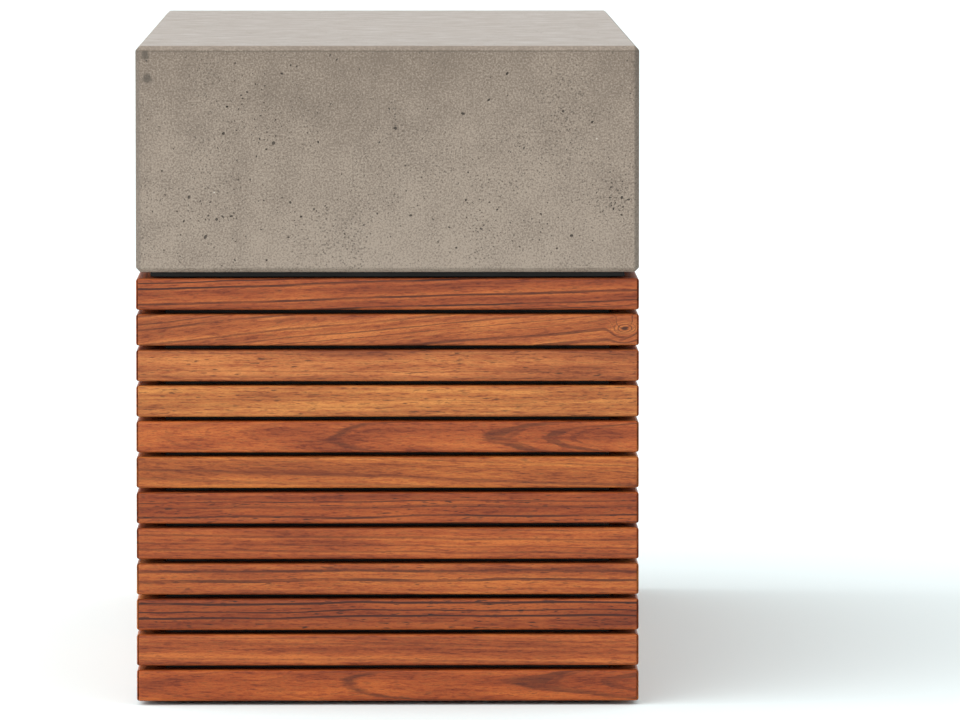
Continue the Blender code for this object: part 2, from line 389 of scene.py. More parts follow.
def concrete_material(name, settings, brightness=1.0):
    """Cast concrete from a smooth mould, sealed matt.

    It gives the eye soft clouds of paste and lime a hand wide, mottling the size of the
    gravel beneath, sand grain, pinholes in clusters, and a few white flecks. It also has painted
    light and shade: paler low down and on faces that look up, darker on the upright edges and in
    the pinholes, and darker all over when the brightness is under one, for the air pits.
    """
    material, tree = new_material(name)
    place = add_node(tree, "TexCoord", give="Object")
    across, along, height = add_node(tree, "SeparateXYZ", (place,)).node.outputs
    clouds, mottle, sand, patches = (
        add_node(
            tree,
            "TexNoise",
            {"Vector": place, "Scale": 1 / cell, "Detail": detail, "Roughness": roughness},
        )
        for cell, detail, roughness in (
            (0.13, 5.0, 0.55),
            (0.022, 4.0, 0.6),
            # Sand is about half a millimetre; it is drawn coarser so that it shows
            (0.0013, 2.0, 0.7),
            # Where the pinholes gather
            (0.055, 3.0, 0.6),
        )
    )

    # Painted light: the paste is drawn paler towards the bottom of the block and darker at the top,
    # as the white floor lights it from below
    low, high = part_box("seat_block")
    tone = add_node(
        tree, "MapRange", (height, low.z, high.z, PAINTED_LIGHT_BELOW - NOISE_SHARES, -PAINTED_LIGHT_BELOW - NOISE_SHARES)
    )
    for noise, share in ((clouds, CLOUDS), (mottle, MOTTLE), (sand, SAND)):
        tone = add_node(tree, "Math", (noise, share, tone), operation="MULTIPLY_ADD")
    colour = add_node(
        tree,
        "ValToRGB",
        {"Fac": tone},
        stops=((0.25, settings.shade), (0.50, settings.paste), (0.75, settings.bloom)),
    )

    # Pinholes: one cell every 2.3 mm, most of them empty, more in patches a hand wide
    hole_size = add_node(tree, "MapRange", (patches, 0.42, 0.62, 0.12, 0.42))
    cell = add_node(tree, "TexVoronoi", {"Vector": place, "Scale": 1 / 0.0023})
    holes = add_node(
        tree, "MapRange", (cell, 0.0, hole_size, 1.0, 0.0), interpolation_type="SMOOTHSTEP"
    )
    # Painted shade: the pinholes are drawn dark, as their insides lie in shade
    painted_pinhole_shade = add_node(tree, "Math", (holes, 0.85), operation="MULTIPLY")

    # White flecks of unburnt lime, one in every patch of 35 mm or so
    fleck_cell = add_node(tree, "TexVoronoi", {"Vector": place, "Scale": 1 / 0.035})
    flecks = add_node(tree, "MapRange", (fleck_cell, 0.008, 0.020, 0.6, 0.0))

    # Painted shade on the rounded upright edges. A point is near one only when it is
    # close to a side and to an end as well, so the further of the two counts
    to_side = add_node(tree, "Math", (across,), operation="ABSOLUTE")
    to_side = add_node(tree, "Math", (to_side, high.x), operation="SUBTRACT")
    to_end = add_node(tree, "Math", (along,), operation="ABSOLUTE")
    to_end = add_node(tree, "Math", (to_end, high.y), operation="SUBTRACT")
    to_corner = add_node(tree, "Math", (to_side, to_end), operation="MINIMUM")
    painted_edge_shade = add_node(
        tree, "MapRange", (to_corner, -1.3 * settings.chamfer, -0.8 * settings.chamfer, 0.0, 0.42)
    )

    # Painted light: faces that look up, the top and its chamfer, are drawn paler, as lit from
    # above. A fine dark line is drawn along the foot of the top chamfer, round all the sides
    facing = add_node(tree, "NewGeometry", give="Normal")
    upward = add_node(tree, "SeparateXYZ", (facing,), give=2)
    painted_top_light = add_node(tree, "MapRange", (upward, 0.45, 0.95, 0.0, 0.5))
    line_height = high.z - settings.chamfer - settings.arris
    from_line = add_node(tree, "Math", (height, line_height), operation="SUBTRACT")
    from_line = add_node(tree, "Math", (from_line,), operation="ABSOLUTE")
    edge_line = add_node(tree, "MapRange", (from_line, 0.2 * MM, 0.7 * MM, 0.5, 0.0))

    # Two old oil spots, high on the left of the front
    bleed = add_node(
        tree, "TexNoise", {"Vector": place, "Scale": 1 / OIL_SPREAD, "Detail": 3.0}, give="Color"
    )
    bleed = add_node(tree, "VectorMath", (bleed, (OIL_SPREAD,) * 3, place), operation="MULTIPLY_ADD")
    # The noise lies about a half, so it moves every point by half the spread
    shift = OIL_SPREAD / 2
    stains = []
    for (inset, drop), size in OIL_SPOTS:
        spot = (low.x + inset + shift, low.y + shift, high.z - drop + shift)
        away = add_node(tree, "VectorMath", (bleed, spot), give=1, operation="DISTANCE")
        stains.append(add_node(tree, "MapRange", (away, 0.6 * size, 1.2 * size, 0.65, 0.0)))

    for share, code in (
        (painted_pinhole_shade, "#443B31"),
        (flecks, "#D8D0C4"),
        (painted_edge_shade, "#3C362F"),
        (painted_top_light, "#A1978B"),
        (edge_line, "#4E453B"),
        (stains[0], "#3D352C"),
        (stains[1], "#3D352C"),
    ):
        colour = add_node(
            tree, "Mix", {0: share, 6: colour, 7: (*linear(code), 1.0)}, give=2, data_type="RGBA"
        )
    # Painted shade: the brightness darkens the whole colour, for the inside of the air pits
    colour = add_node(
        tree,
        "Mix",
        {0: 1.0, 6: colour, 7: (*(brightness,) * 3, 1.0)},
        give=2,
        data_type="RGBA",
        blend_type="MULTIPLY",
    )

    # The top was trowelled and sealed, so it is smoother than the moulded sides
    trowelled = add_node(tree, "MapRange", (upward, 0.8, 0.98, 0.0, 0.30))
    roughness = add_node(tree, "MapRange", (mottle, 0.3, 0.7, 0.58, 0.75))
    roughness = add_node(tree, "Math", (roughness, trowelled), operation="SUBTRACT")
    relief = add_node(tree, "Math", (holes, -1.0), operation="MULTIPLY")
    relief = add_node(tree, "Math", (sand, 0.5, relief), operation="MULTIPLY_ADD")
    relief = (1.0, 0.3 * MM, relief)
    return finish_material(material, colour, relief, {"Roughness": roughness})


# An air pit is this deep for its radius
PIT_DEPTH = 0.7
# Radius of the smallest pit, and how much larger than that the mean one is
PIT_SMALLEST = 0.40 * MM
PIT_SPREAD = 0.19 * MM
# Share of the pits that lie in clusters
PITS_IN_CLUSTERS = 0.62
# For its area, the trowelled top has this share of a moulded side's pits
PITS_ON_TOP = 0.18
# Painted shade: the inside of a pit is drawn with this share of the paste's brightness
PIT_PAINTED_SHADE = 0.4
# Where the air gathered on the front: across, up from its middle, and how far each spreads
FRONT_CLUSTERS = (
    (-0.089, 0.045, 0.018, 0.024),
    (-0.080, 0.020, 0.012, 0.020),
    (-0.134, -0.052, 0.022, 0.014),
    (-0.120, -0.040, 0.030, 0.020),
    (0.040, -0.042, 0.035, 0.016),
    (0.075, -0.036, 0.028, 0.014),
    (0.100, -0.050, 0.022, 0.012),
    (0.161, -0.025, 0.006, 0.008),
)


def draw_clusters(chance, width, height):
    """Clusters of air at random on a side, more of them on a larger one."""
    return [
        (
            chance.uniform(-width / 2, width / 2),
            chance.uniform(-height / 2, height / 2),
            chance.uniform(0.015, 0.045),
            chance.uniform(0.012, 0.035),
        )
        for _ in range(int(3 + 12 * width * height / 0.13))
    ]


def pit_places(chance, settings, low, high):
    """Matrices that turn a unit ball into each air pit, drawn side by side round the block.

    The moulded sides have most of them, in clusters; the top was trowelled and has few.
    """
    middle = (low + high) / 2
    size = high - low
    margin = settings.chamfer + 1.5 * MM
    right, back, up = Vector((1, 0, 0)), Vector((0, 1, 0)), Vector((0, 0, 1))
    # centre of the side, along the side, up the side, width, height, share of the pits
    sides = (
        (Vector((middle.x, low.y, middle.z)), right, up, size.x, size.z, 1.0),
        (Vector((high.x, middle.y, middle.z)), back, up, size.y, size.z, 1.0),
        (Vector((middle.x, high.y, middle.z)), -right, up, size.x, size.z, 1.0),
        (Vector((low.x, middle.y, middle.z)), -back, up, size.y, size.z, 1.0),
        (Vector((middle.x, middle.y, high.z)), right, back, size.x, size.y, PITS_ON_TOP),
    )
    places = []
    for number, (centre, along, rise, width, height, share) in enumerate(sides):
        outward = along.cross(rise)
        wanted = int(settings.pits_per_area * width * height * share)
        clusters = FRONT_CLUSTERS if number == 0 else draw_clusters(chance, width, height)
        taken = []
        for _ in range(wanted * 3):
            if len(taken) >= wanted:
                break
            if chance.random() < PITS_IN_CLUSTERS:
                x, y, spread_x, spread_y = chance.choice(clusters)
                x = chance.gauss(x, spread_x)
                y = chance.gauss(y, spread_y)
            else:
                x = chance.uniform(-width / 2, width / 2)
                y = chance.uniform(-height / 2, height / 2)
            radius = min(PIT_SMALLEST + chance.expovariate(1 / PIT_SPREAD), settings.largest_pit)
            if abs(x) > width / 2 - margin or abs(y) > height / 2 - margin:
                continue
            if any(
                (x - other_x) ** 2 + (y - other_y) ** 2 < (radius + other + 0.3 * MM) ** 2
                for other_x, other_y, other in taken
            ):
                continue
            taken.append((x, y, radius))
            stretch = chance.uniform(0.75, 1.35)
            sunk = chance.uniform(0.0, 0.5) * radius
            turn = Euler((0.0, 0.0, chance.uniform(0.0, math.pi))).to_matrix().to_4x4()
            basis = Matrix((along, rise, outward)).transposed().to_4x4()
            ball = Matrix.Diagonal((radius * stretch, radius / stretch, radius * PIT_DEPTH, 1.0))
            spot = centre + along * x + rise * y - outward * sunk * PIT_DEPTH
            places.append(Matrix.Translation(spot) @ basis @ turn @ ball)
    return places


# The block is hollow: how thick it is at the sides and at the top
BLOCK_WALL = 40 * MM
BLOCK_TOP = 35 * MM


def block_body(settings, low, high):
    """The block before its pits: chamfered outside, hollow and open underneath."""
    bm = box(low, high)
    round_edges(bm, list(bm.edges), settings.chamfer, 1)
    round_edges(bm, list(bm.edges), settings.arris, 3)
    under = face_towards(bm, (0.0, 0.0, -1.0))
    inset_face(bm, under, BLOCK_WALL - settings.chamfer - settings.arris)
    hollow = push_face(bm, under, (0.0, 0.0, high.z - low.z - BLOCK_TOP))
    round_edges(bm, list(hollow.edges), 4 * MM, 4)
    return bm


class BENCH_OT_seat_block(bpy.types.Operator):
    """Cast the hollow seat block, with chamfered edges and real air pits"""

    bl_idname = "bench.seat_block"
    bl_label = "Seat block"

    def execute(self, context):
        settings = context.scene.bench_block
        low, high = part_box("seat_block")
        chance = random.Random(settings.pit_seed)
        concrete = concrete_material("cast_concrete", settings)
        pit_painted_shade = concrete_material("cast_concrete_pit", settings, PIT_PAINTED_SHADE)

        body = to_mesh("block", block_body(settings, low, high))
        block = bpy.data.objects.new("block", body)
        block.data.materials.append(concrete)
        ball = bmesh.new()
        bmesh.ops.create_uvsphere(ball, u_segments=7, v_segments=4, radius=1.0)
        places = pit_places(chance, settings, low, high)
        pits = bpy.data.objects.new("pits", join_copies("pits", to_mesh("pit", ball), places))
        pits.data.materials.append(pit_painted_shade)
        context.scene.collection.objects.link(block)
        context.scene.collection.objects.link(pits)
        cut = block.modifiers.new("pits", "BOOLEAN")
        cut.operation = "DIFFERENCE"
        cut.solver = "MANIFOLD"
        cut.material_mode = "TRANSFER"
        cut.object = pits
        graph = context.evaluated_depsgraph_get()
        mesh = bpy.data.meshes.new_from_object(block.evaluated_get(graph))
        if len(mesh.polygons) < len(block.data.polygons) + len(places):
            raise RuntimeError("the pits were not cut into the seat block")
        bpy.data.objects.remove(block)
        bpy.data.objects.remove(pits)
        add_piece("cast_seat_block", mesh, concrete, ["seat_block"], crease=40.0)
        return {"FINISHED"}


# -------------------- slats
# The boards of the front, highest course first. Colour is the board's mean. Turn is the
# angle of the growth rings to the face; across and depth are how far the tree's heart lies
# from the middle of the face; the leans are how fast that changes along the slat.
FRONT_BOARDS = (
    # colour, turn, across, depth, lean across, lean depth, lines, pores
    ("#8D421D", 0.10, 0.060, 0.030, -0.032, 0.00, 1.3, 0.6),
    ("#9E5328", 0.30, 0.050, 0.030, -0.120, 0.02, 0.8, 0.5),
    ("#A1592E", 0.15, 0.090, 0.040, 0.006, 0.00, 0.4, 1.0),
    ("#A45E2E", 0.05, 0.080, 0.050, -0.010, 0.01, 0.4, 1.0),
    ("#994A20", 0.00, 0.001, 0.0256, 0.004, -0.06, 0.75, 0.5),
    ("#A25625", 0.60, 0.030, 0.040, 0.015, 0.03, 0.5, 0.5),
    ("#873C17", 0.10, 0.090, 0.010, -0.008, 0.00, 1.1, 1.2),
    ("#96481E", 0.20, 0.070, 0.040, 0.010, 0.00, 0.6, 0.5),
    ("#964A1F", 0.35, 0.030, 0.028, 0.022, -0.03, 0.95, 0.8),
    ("#823915", 0.02, 0.075, 0.018, -0.006, 0.00, 1.9, 1.4),
    ("#94471E", 0.80, 0.060, 0.040, 0.012, 0.00, 0.4, 0.5),
    ("#934319", 0.00, -0.001, 0.0263, -0.004, -0.05, 0.8, 0.5),
)


# The slat that has a knot, and how far along it and above its middle the knot is
KNOT_SLAT = "front_slat_02"
KNOT_PLACE = (0.165, 0.001)


def draw_board(chance):
    """A board for one of the other sides, cut from the tree at random."""
    colour = chance.choice([board[0] for board in FRONT_BOARDS])
    flat_sawn = chance.random() < 0.35
    across = chance.uniform(-0.006, 0.006) if flat_sawn else chance.uniform(0.03, 0.10)
    depth = chance.uniform(0.012, 0.030)
    lean = chance.choice((-1, 1)) * chance.uniform(0.015, 0.04)
    return (
        colour,
        chance.uniform(0.0, 0.5) if not flat_sawn else 0.0,
        across,
        depth,
        chance.uniform(-0.02, 0.02),
        lean if flat_sawn else 0.0,
        chance.uniform(0.4, 1.0),
        chance.uniform(0.3, 1.0),
    )


def store_at_points(mesh, name, kind, field, values):
    """Store one value of several numbers at each point of a mesh."""
    mesh.attributes.new(name, kind, "POINT")
    numbers = [number for value in values for number in value]
    mesh.attributes[name].data.foreach_set(field, numbers)


def mark_grain(mesh, board, chance, height, knot=None):
    """Store where each point of a slat lay in its tree, and the board's colour and figure."""
    colour, turn, across, depth, lean_across, lean_depth, lines, pores = board
    start = chance.uniform(0.0, 50.0)
    # The figure's third number is spare
    spare = chance.uniform(0.2, 0.9)
    cos, sin = math.cos(turn), math.sin(turn)
    points = [(vertex.co.x, vertex.co.y, vertex.co.z - height / 2) for vertex in mesh.vertices]
    in_tree = [
        (
            x + start,
            cos * up - sin * y + across + lean_across * x,
            sin * up + cos * y + depth + lean_depth * x,
        )
        for x, y, up in points
    ]
    if knot:
        from_knot = [(x - knot[0], y, up - knot[1]) for x, y, up in points]
    else:
        from_knot = [(1.0, 1.0, 1.0)] * len(points)
    colours = [(*linear(colour), 1.0)] * len(points)
    figures = [(lines, pores, spare)] * len(points)
    store_at_points(mesh, "place_in_tree", "FLOAT_VECTOR", "vector", in_tree)
    store_at_points(mesh, "from_knot", "FLOAT_VECTOR", "vector", from_knot)
    store_at_points(mesh, "board_figure", "FLOAT_VECTOR", "vector", figures)
    store_at_points(mesh, "board_colour", "FLOAT_COLOR", "color", colours)


def hardwood_material(settings):
    """Tropical hardwood, planed, sanded and oiled to a satin sheen.

    It gives the eye straight red-brown grain with honey bands, thin dark growth lines,
    cathedral arches where the board was sawn near the heart, and short dark pores.
    """
    material, tree = new_material("oiled_hardwood")
    place = add_node(tree, "Attribute", give="Vector", attribute_name="place_in_tree")
    board = add_node(tree, "Attribute", give="Color", attribute_name="board_colour")
    figure = add_node(tree, "Attribute", give="Vector", attribute_name="board_figure")
    lines_strength, pores_strength = add_node(tree, "SeparateXYZ", (figure,)).node.outputs[:2]

    noises = []
    for along, across, detail, roughness in (
        # Fibres are a tenth of a millimetre wide; they are drawn coarser so that they show
        (0.012, 0.0011, 3.0, 0.85),
        # Strands of fibres
        (0.06, 0.0034, 3.0, 0.6),
        # Slow waves along the trunk
        (0.11, 0.03, 2.0, 0.5),
        # Darker and paler patches
        (0.13, 0.012, 3.0, 0.6),
        # Pores
        (0.008, 0.0009, 1.0, 0.5),
    ):
        cells = (1 / along, 1 / across, 1 / across)
        stretched = add_node(tree, "VectorMath", (place, cells), operation="MULTIPLY")
        noise = {"Vector": stretched, "Scale": 1.0, "Detail": detail, "Roughness": roughness}
        noises.append(add_node(tree, "TexNoise", noise))
    fibres, strands, waves, patches, pore_field = noises

    # Growth rings: the distance from the heart, bent by the waves, made ragged by the
    # strands and swollen round a knot
    across_only = add_node(tree, "VectorMath", (place, (0.0, 1.0, 1.0)), operation="MULTIPLY")
    radius = add_node(tree, "VectorMath", (across_only,), give=1, operation="LENGTH")
    radius = add_node(tree, "Math", (waves, 5.0 * MM, radius), operation="MULTIPLY_ADD")
    radius = add_node(tree, "Math", (strands, 1.0 * MM, radius), operation="MULTIPLY_ADD")
    knot = add_node(tree, "Attribute", give="Vector", attribute_name="from_knot")
    knot_far = add_node(tree, "VectorMath", (knot,), give=1, operation="LENGTH")
    knot_swell = add_node(
        tree, "MapRange", (knot_far, 0.0, 16 * MM, 9.0 * MM, 0.0), interpolation_type="SMOOTHERSTEP"
    )
    radius = add_node(tree, "Math", (radius, knot_swell), operation="ADD")

    bands, lines = (
        add_node(
            tree,
            "TexNoise",
            {"W": radius, "Scale": 1 / cell, "Detail": detail, "Roughness": roughness},
            noise_dimensions="1D",
        )
        for cell, detail, roughness in ((0.009, 2.0, 0.5), (0.0032, 3.0, 0.6))
    )
    dark_lines = add_node(tree, "MapRange", (lines, 0.55, 0.62, 0.0, 1.0))
    # Each growth line fades in and out along the board
    fade = add_node(tree, "MapRange", (strands, 0.30, 0.55, 0.25, 1.0))
    dark_lines = add_node(tree, "Math", (dark_lines, fade), operation="MULTIPLY")
    pores = add_node(tree, "MapRange", (pore_field, 0.63, 0.71, 0.0, 1.0))

    # Each noise lies about 0.5; the shares say how much of the tone comes from each, and the
    # start brings the sum back to about 0.5
    tone = -1.21
    for noise, share in ((bands, 0.7), (patches, 0.8), (fibres, 1.5), (strands, 0.5)):
        tone = add_node(tree, "Math", (noise, share, tone), operation="MULTIPLY_ADD")
    tint = add_node(
        tree,
        "ValToRGB",
        {"Fac": tone},
        stops=((0.22, (0.42, 0.30, 0.28)), (0.50, (0.95, 0.90, 0.86)), (0.78, (1.55, 1.95, 1.90))),
    )
    colour = add_node(
        tree, "Mix", {0: 1.0, 6: board, 7: tint}, give=2, data_type="RGBA", blend_type="MULTIPLY"
    )
    streaks = add_node(tree, "MapRange", (fibres, 0.54, 0.62, 0.0, 0.62))
    line_share = add_node(tree, "Math", (dark_lines, lines_strength), operation="MULTIPLY")
    line_share = add_node(tree, "Math", (line_share, 0.85), operation="MULTIPLY", use_clamp=True)
    pore_share = add_node(tree, "Math", (pores, pores_strength), operation="MULTIPLY")
    pore_share = add_node(tree, "Math", (pore_share, 0.7), operation="MULTIPLY")

    # A knot: a dark heart, and rings about it that die away in a few millimetres
    knot_round = add_node(tree, "VectorMath", (knot, (0.55, 1.0, 1.0)), operation="MULTIPLY")
    knot_near = add_node(tree, "VectorMath", (knot_round,), give=1, operation="LENGTH")
    knot_ragged = add_node(tree, "Math", (strands, 1.5 * MM, knot_near), operation="MULTIPLY_ADD")
    knot_phase = add_node(tree, "Math", (knot_ragged, 2 * math.pi / (1.5 * MM)), operation="MULTIPLY")
    knot_rings = add_node(tree, "Math", (knot_phase,), operation="SINE")
    knot_rings = add_node(tree, "MapRange", (knot_rings, 0.1, 0.9, 0.0, 0.7))
    knot_reach = add_node(tree, "MapRange", (knot_near, 2.5 * MM, 7 * MM, 1.0, 0.0))
    knot_heart = add_node(tree, "MapRange", (knot_ragged, 1.6 * MM, 2.6 * MM, 0.9, 0.0))
    knot_share = add_node(tree, "Math", (knot_rings, knot_reach), operation="MULTIPLY")
    knot_share = add_node(tree, "Math", (knot_share, knot_heart), operation="MAXIMUM")

    for share, code in (
        (streaks, "#5A2A16"),
        (line_share, "#3D160A"),
        (knot_share, "#35170D"),
        (pore_share, "#2A120B"),
    ):
        colour = add_node(
            tree, "Mix", {0: share, 6: colour, 7: (*linear(code), 1.0)}, give=2, data_type="RGBA"
        )

    rough = add_node(
        tree, "MapRange", (fibres, 0.3, 0.7, settings.roughness - 0.08, settings.roughness + 0.08)
    )
    height = add_node(tree, "Math", (pores, -1.0), operation="MULTIPLY")
    height = add_node(tree, "Math", (fibres, 0.5, height), operation="MULTIPLY_ADD")
    looks = {"Roughness": rough, "Specular IOR Level": 0.28}
    return finish_material(material, colour, (0.6, 0.08 * MM, height), looks)


def slat_shape(length, thickness, height, settings):
    """One slat, its outer face towards -Y on y = 0, mitred at both ends."""
    bm = box((-length / 2, 0.0, 0.0), (length / 2, thickness, height))
    outer = list(face_towards(bm, (0.0, -1.0, 0.0)).edges)
    round_edges(bm, outer, settings.edge, 5)
    back = face_towards(bm, (0.0, 1.0, 0.0))
    long_edges = [edge for edge in back.edges if edge.calc_length() > length / 2]
    round_edges(bm, long_edges, 0.8 * MM, 1)
    half = length / 2 - settings.joint * math.sqrt(0.5)
    for end in (-1.0, 1.0):
        cut = bmesh.ops.bisect_plane(
            bm,
            geom=list(bm.verts) + list(bm.edges) + list(bm.faces),
            plane_co=(end * half, 0.0, 0.0),
            plane_no=(end, 1.0, 0.0),
            clear_outer=True,
        )["geom_cut"]
        rim = [item for item in cut if isinstance(item, bmesh.types.BMEdge)]
        bmesh.ops.contextual_create(bm, geom=rim)
    bmesh.ops.recalc_face_normals(bm, faces=bm.faces)
    return bm


class BENCH_OT_slats(bpy.types.Operator):
    """Add the slats of all four sides, each cut from its own board"""

    bl_idname = "bench.slats"
    bl_label = "Slats"

    def execute(self, context):
        settings = context.scene.bench_slats
        chance = random.Random(settings.grain_seed)
        wood = hardwood_material(settings)
        for number, side in enumerate(SIDES):
            turn = Matrix.Rotation(math.radians(90 * number), 4, "Z")
            across = number % 2
            for course in range(1, COURSES + 1):
                node = f"{side}_slat_{course:02d}"
                low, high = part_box(node)
                size = high - low
                length = size[across]
                thickness = size[1 - across]
                face = ((0.0, low.y), (high.x, 0.0), (0.0, high.y), (low.x, 0.0))[number]
                outer = Vector((*face, low.z))
                mesh = to_mesh(node, slat_shape(length, thickness, size.z, settings))
                board = FRONT_BOARDS[course - 1] if side == "front" else draw_board(chance)
                knot = KNOT_PLACE if node == KNOT_SLAT else None
                mark_grain(mesh, board, chance, size.z, knot)
                mesh.transform(Matrix.Translation(outer) @ turn)
                add_piece(f"{side}_board_{course:02d}", mesh, wood, [node])
        return {"FINISHED"}


# -------------------- steel frame
def powder_coat_material(settings):
    """Mild steel, powder coated in fine-textured black.

    It gives the eye a soft black with a slight orange peel and a little dust.
    """
    material, tree = new_material("black_powder_coat")
    place = add_node(tree, "TexCoord", give="Object")
    peel = add_node(tree, "TexNoise", {"Vector": place, "Scale": 1 / 0.0018})
    dust = add_node(
        tree, "TexNoise", {"Vector": place, "Scale": 1 / 0.045, "Detail": 5.0, "Roughness": 0.6}
    )
    dust_share = add_node(tree, "MapRange", (dust, 0.45, 0.75, 0.0, 0.12))
    colour = add_node(
        tree,
        "Mix",
        {0: dust_share, 6: (*settings.powder, 1.0), 7: (*linear("#4A4641"), 1.0)},
        give=2,
        data_type="RGBA",
    )
    rough = add_node(tree, "MapRange", (dust, 0.3, 0.7, 0.42, 0.6))
    looks = {"Roughness": rough, "Specular IOR Level": 0.3}
    return finish_material(material, colour, (0.5, 0.06 * MM, peel), looks)


class BENCH_OT_frame(bpy.types.Operator):
    """Powder coat the steel frame"""

    bl_idname = "bench.frame"
    bl_label = "Steel frame"

    def execute(self, context):
        coat = powder_coat_material(context.scene.bench_frame)
        for name in STEEL_NODES:
            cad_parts[name].material_slots[0].material = coat
        return {"FINISHED"}


class BENCH_OT_shade_sheets(bpy.types.Operator):
    """Put black sheet behind the slats: painted shade that keeps the gaps between them dark"""

    bl_idname = "bench.lining"
    bl_label = "Lining"

    def execute(self, context):
        settings = context.scene.bench_lining
        coat = bpy.data.materials["black_powder_coat"]
        low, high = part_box("front_left_post")
        _, hoop_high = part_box("middle_hoop")
        wall = STEEL_WALL + CLEARANCE
        x = -low.x - wall
        y = -low.y - wall
        bottom = low.z + WELD_ROOM
        top = high.z - WELD_ROOM
        sheet = settings.thickness
        far = y - sheet - CLEARANCE
        near = hoop_high.y + CLEARANCE
        sheets = []
        for end, sign in (("front", -1), ("rear", 1)):
            start, stop = sorted((sign * y, sign * (y - sheet)))
            sheets.append((end, (-x, start, bottom), (x, stop, top)))
        for side, sign in (("left", -1), ("right", 1)):
            faces = sorted((sign * x, sign * (x - sheet)))
            for end, (start, stop) in (("front", (-far, -near)), ("rear", (near, far))):
                low, high = zip(faces, (start, stop), (bottom, top))
                sheets.append((f"{side}_{end}", low, high))
        # Each sheet is painted shade that keeps the gaps between the slats dark
        for name, low, high in sheets:
            bm = box(low, high)
            round_edges(bm, list(bm.edges), 0.3 * MM, 2)
            name += "_lining"
            add_piece(name, to_mesh(name, bm), coat)
        return {"FINISHED"}


# -------------------- feet
def metal_material(name, colour, roughness, grain):
    """Bright steel, drawn or turned.

    It gives the eye a cool grey shine, a little blurred by fine tool marks.
    """
    material, tree = new_material(name)
    place = add_node(tree, "TexCoord", give="Object")
    marks = add_node(
        tree, "TexNoise", {"Vector": place, "Scale": 1 / grain, "Detail": 3.0, "Roughness": 0.6}
    )
    rough = add_node(tree, "MapRange", (marks, 0.3, 0.7, roughness - 0.08, roughness + 0.1))
    dull = add_node(
        tree,
        "Mix",
        {0: marks, 6: (*linear(colour), 1.0), 7: (*linear("#77777A"), 1.0)},
        give=2,
        data_type="RGBA",
    )
    looks = {"Metallic": 1.0, "Roughness": rough}
    return finish_material(material, dull, (0.3, 0.03 * MM, marks), looks)


def rubber_material():
    """Moulded nitrile rubber.

    It gives the eye a dull black with a fine skin and grey dust where it meets the ground.
    """
    material, tree = new_material("moulded_black_rubber")
    place = add_node(tree, "TexCoord", give="Object")
    skin = add_node(tree, "TexNoise", {"Vector": place, "Scale": 1 / 0.0008})
    above_ground = add_node(tree, "SeparateXYZ", (place,), give=2)
    dust = add_node(tree, "MapRange", (above_ground, 0.0, 3 * MM, 0.5, 0.0))
    dust = add_node(tree, "Math", (dust, skin), operation="MULTIPLY")
    colour = add_node(
        tree,
        "Mix",
        {0: dust, 6: (*linear("#1B1B1B"), 1.0), 7: (*linear("#6B665F"), 1.0)},
        give=2,
        data_type="RGBA",
    )
    return finish_material(material, colour, (0.5, 0.05 * MM, skin), {"Roughness": 0.75})


# The M8 thread of the feet and the bolts, a little under size
THREAD_RADIUS = 3.9 * MM
THREAD_PITCH = 1.25 * MM
THREAD_DEPTH = 0.45 * MM
THREAD_CREASE = 50.0


def thread_profile(start, stop):
    """Outline points of a threaded rod from one height up to another, drawn as ridges."""
    turns = int((stop - start) / THREAD_PITCH)
    root = THREAD_RADIUS - THREAD_DEPTH
    points = []
    for turn in range(turns):
        points.append((root, start + THREAD_PITCH * turn))
        points.append((THREAD_RADIUS, start + THREAD_PITCH * (turn + 0.5)))
    points.append((root, start + THREAD_PITCH * turns))
    return points


def washer_profile(bore, radius, under):
    """Outline points of a washer with eased outer corners, from its under side up."""
    ease = 0.2 * MM
    over = under + 1.6 * MM
    return [
        (bore, under),
        (radius - ease, under),
        (radius, under + ease),
        (radius, over - ease),
        (radius - ease, over),
        (bore, over),
        (bore, under),
    ]


def hexagon(across_flats, height):
    """A bolt head: a hexagonal prism standing on z = 0, its upper corners eased."""
    bm = bmesh.new()
    corner = across_flats / math.sqrt(3)
    middle = Matrix.Translation((0.0, 0.0, height / 2))
    bmesh.ops.create_cone(
        bm, cap_ends=True, segments=6, radius1=corner, radius2=corner, depth=height, matrix=middle
    )
    upper = list(face_towards(bm, (0.0, 0.0, 1.0)).edges)
    round_edges(bm, upper, 0.7 * MM, 2)
    return bm


